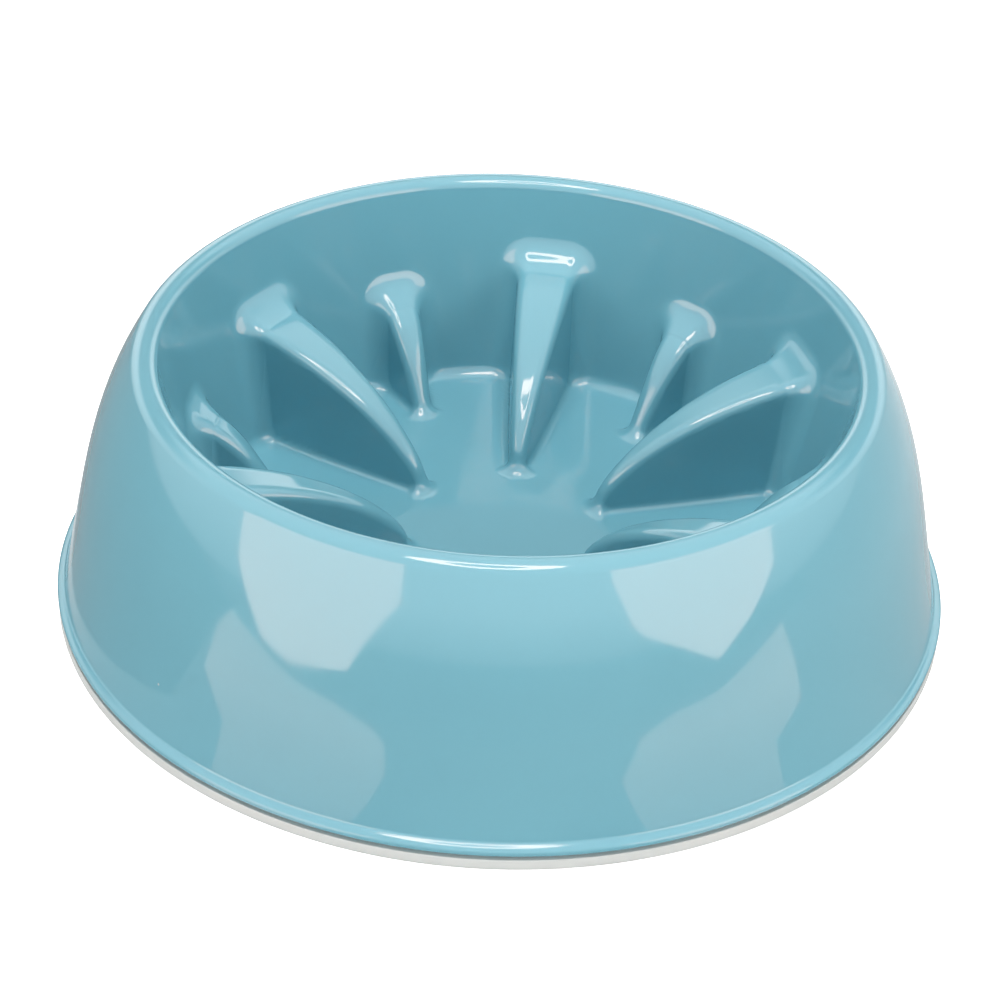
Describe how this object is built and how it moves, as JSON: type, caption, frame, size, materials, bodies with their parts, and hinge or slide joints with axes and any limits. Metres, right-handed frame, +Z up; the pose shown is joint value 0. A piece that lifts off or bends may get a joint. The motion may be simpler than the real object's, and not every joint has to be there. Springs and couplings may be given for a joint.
{
  "type": "slow feeder bowl",
  "caption": "Round slow feeder bowl for a pet, with long and short radial ribs in the basin, a flared skirt and a soft grip ring under the foot",
  "frame": {"origin": "middle of the foot, on the surface that the bowl stands on", "axes": "+Z up along the bowl's axis, +X to the right and -Y to the front in the pictured view"},
  "size_m": [0.23, 0.23, 0.0722],
  "materials": {
    "bowl_plastic": "high gloss injection moulding in mid blue",
    "grip_rubber": "satin pale grey soft rubber"
  },
  "bodies": {
    "root": {"bowl": "bowl_plastic", "grip_ring": "grip_rubber"}
  },
  "joints": []
}
